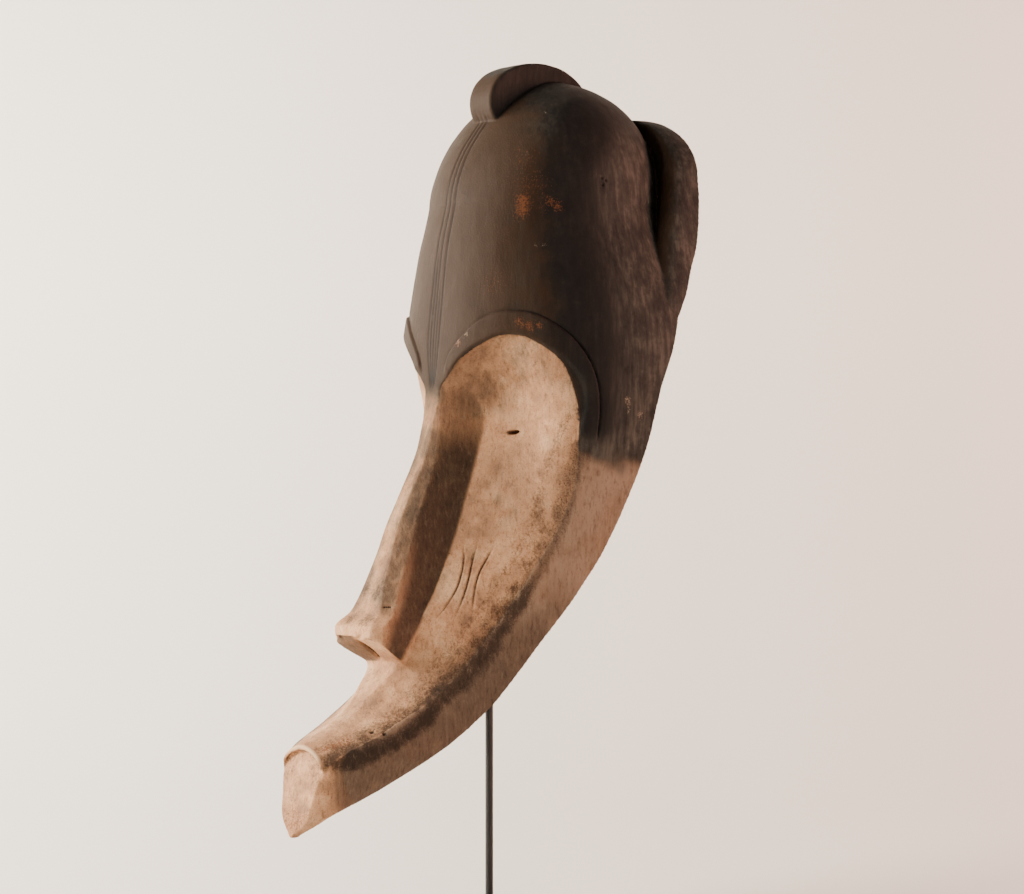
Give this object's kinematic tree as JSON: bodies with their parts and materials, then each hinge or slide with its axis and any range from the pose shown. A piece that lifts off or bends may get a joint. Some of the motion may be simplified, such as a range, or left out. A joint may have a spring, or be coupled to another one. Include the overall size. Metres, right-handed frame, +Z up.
{
  "type": "fang mask",
  "caption": "Tall carved wooden face mask with a long nose, domed forehead and crest, on a black steel rod stand.",
  "frame": {"origin": "centre of the underside of the stand's square plate, on the axis of its upright rod", "axes": "+Z up along the rod, -Y the way the face looks, +X the mask's own left"},
  "size_m": [0.2676, 0.392, 0.81],
  "materials": {
    "carved_wood": "matt, kaolin on the face, near-black patina on the dome",
    "black_steel": "satin black"
  },
  "bodies": {
    "root": {"mask": "carved_wood", "stand_rod": "black_steel", "stand_base": "black_steel"}
  },
  "joints": []
}
